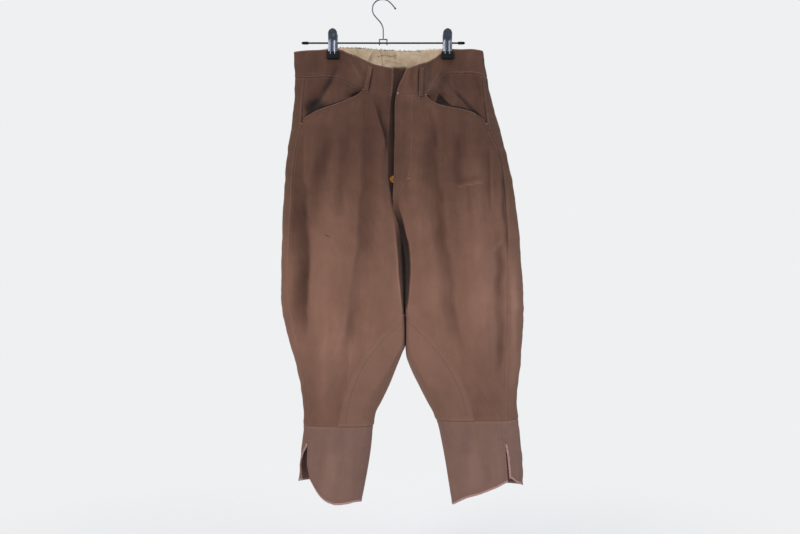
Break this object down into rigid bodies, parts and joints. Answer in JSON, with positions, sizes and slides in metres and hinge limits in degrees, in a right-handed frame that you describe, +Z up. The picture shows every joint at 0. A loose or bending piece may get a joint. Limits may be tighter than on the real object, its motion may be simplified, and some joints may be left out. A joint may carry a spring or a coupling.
{
  "type": "safari trousers on a clip hanger",
  "caption": "Calf-length safari trousers with full thighs, curved pockets and knee strappings, hanging by the waistband from a clip hanger.",
  "frame": {"origin": "the point under the top of the hanger's hook, where the hook bears on a rail or a nail", "axes": "+Z up; the trousers' front faces -Y; the wearer's right leg is on the -X side and the rod runs along X"},
  "size_m": [0.5067, 0.0896, 1.0575],
  "materials": {
    "cloth": "brushed heavy cotton, matt, sun-faded brown",
    "calf_cloth": "brushed heavy cotton, matt, a little paler and pinker",
    "lining": "unbleached plain-weave cotton",
    "fly_button": "aged, dull",
    "chrome": "plated wire and sheet, bright",
    "coated_wire": "black dip-coated wire, satin",
    "rubber": "black moulded rubber, matt"
  },
  "bodies": {
    "root": {"front_right": "cloth", "front_left": "cloth", "back_right": "cloth", "back_left": "cloth", "knee_strapping_right": "cloth", "knee_strapping_left": "cloth", "waistband_right": "cloth", "waistband_left": "cloth", "pocket_facing_right": "cloth", "pocket_facing_left": "cloth", "fly_button_stand": "cloth", "belt_loop_front_right": "cloth", "belt_loop_front_left": "cloth", "belt_loop_back_right": "cloth", "belt_loop_back_left": "cloth", "calf_front_right": "calf_cloth", "calf_front_left": "calf_cloth", "calf_back_right": "calf_cloth", "calf_back_left": "calf_cloth", "waistband_lining": "lining", "fly_button_1": "fly_button", "fly_button_2": "fly_button", "fly_button_3": "fly_button", "fly_button_4": "fly_button", "hanger_rod": "coated_wire", "hanger_tip_right": "rubber", "hanger_tip_left": "rubber", "hanger_hook": "chrome", "clip_right_plate_front": "chrome", "clip_right_plate_back": "chrome", "clip_right_sleeve": "chrome", "clip_right_pad_front": "rubber", "clip_right_pad_back": "rubber", "clip_left_plate_front": "chrome", "clip_left_plate_back": "chrome", "clip_left_sleeve": "chrome", "clip_left_pad_front": "rubber", "clip_left_pad_back": "rubber"}
  },
  "joints": []
}
